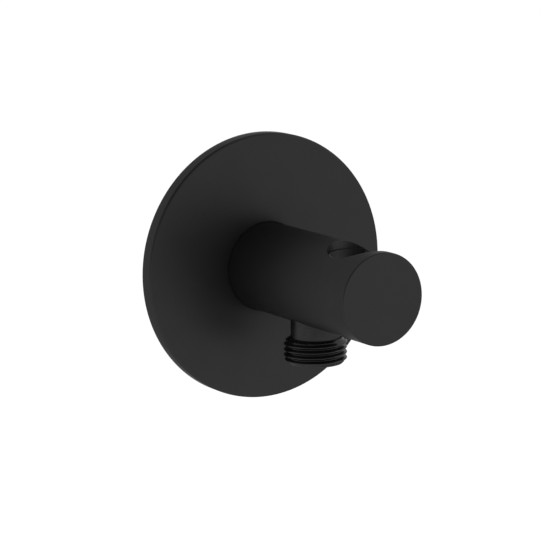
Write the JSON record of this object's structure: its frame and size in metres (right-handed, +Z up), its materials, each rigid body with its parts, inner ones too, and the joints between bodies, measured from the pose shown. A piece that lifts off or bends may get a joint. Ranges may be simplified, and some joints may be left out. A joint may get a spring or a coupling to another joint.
{
  "type": "wall outlet elbow",
  "caption": "Round wall flange with a straight arm that turns shower water down to a hose thread and holds a hand shower.",
  "frame": {"origin": "on the arm's axis in the wall plane, at the centre of the flange's back", "axes": "-Y points out of the wall along the arm, +Y into the wall, +Z up, -Z down the hose"},
  "size_m": [0.09, 0.089, 0.09],
  "materials": {
    "black_coat": "matt black coating on brass",
    "black_thread": "satin black coating on brass",
    "bare_brass": "turned",
    "screw_steel": "blackened",
    "spring_steel": "drawn wire",
    "liner_plastic": "moulded black",
    "valve_plastic": "moulded",
    "poppet_plastic": "moulded",
    "seal_rubber": "smooth",
    "sponge_rubber": "fine sponge"
  },
  "bodies": {
    "fitting": {"arm_body": "black_coat", "wall_flange": "black_coat", "flange_seal": "sponge_rubber", "flange_o_ring": "seal_rubber", "inlet_nipple": "bare_brass", "inlet_o_ring_outer": "seal_rubber", "inlet_o_ring_inner": "seal_rubber", "locking_screw": "screw_steel", "outlet_nipple": "black_thread", "outlet_o_ring": "seal_rubber", "holder_liner": "liner_plastic", "valve_housing": "valve_plastic", "valve_guide": "valve_plastic", "valve_spring": "spring_steel", "valve_o_ring": "seal_rubber"},
    "poppet": {"valve_poppet": "poppet_plastic", "valve_lip_seal": "seal_rubber"}
  },
  "joints": [
    {"name": "valve_lift", "type": "slide", "parent": "fitting", "child": "poppet", "axis": [0, -1, 0], "range_m": [0, 0.003], "stiffness_N_per_m": 60, "springref_m": -0.002, "deforming": ["valve_spring"]}
  ]
}
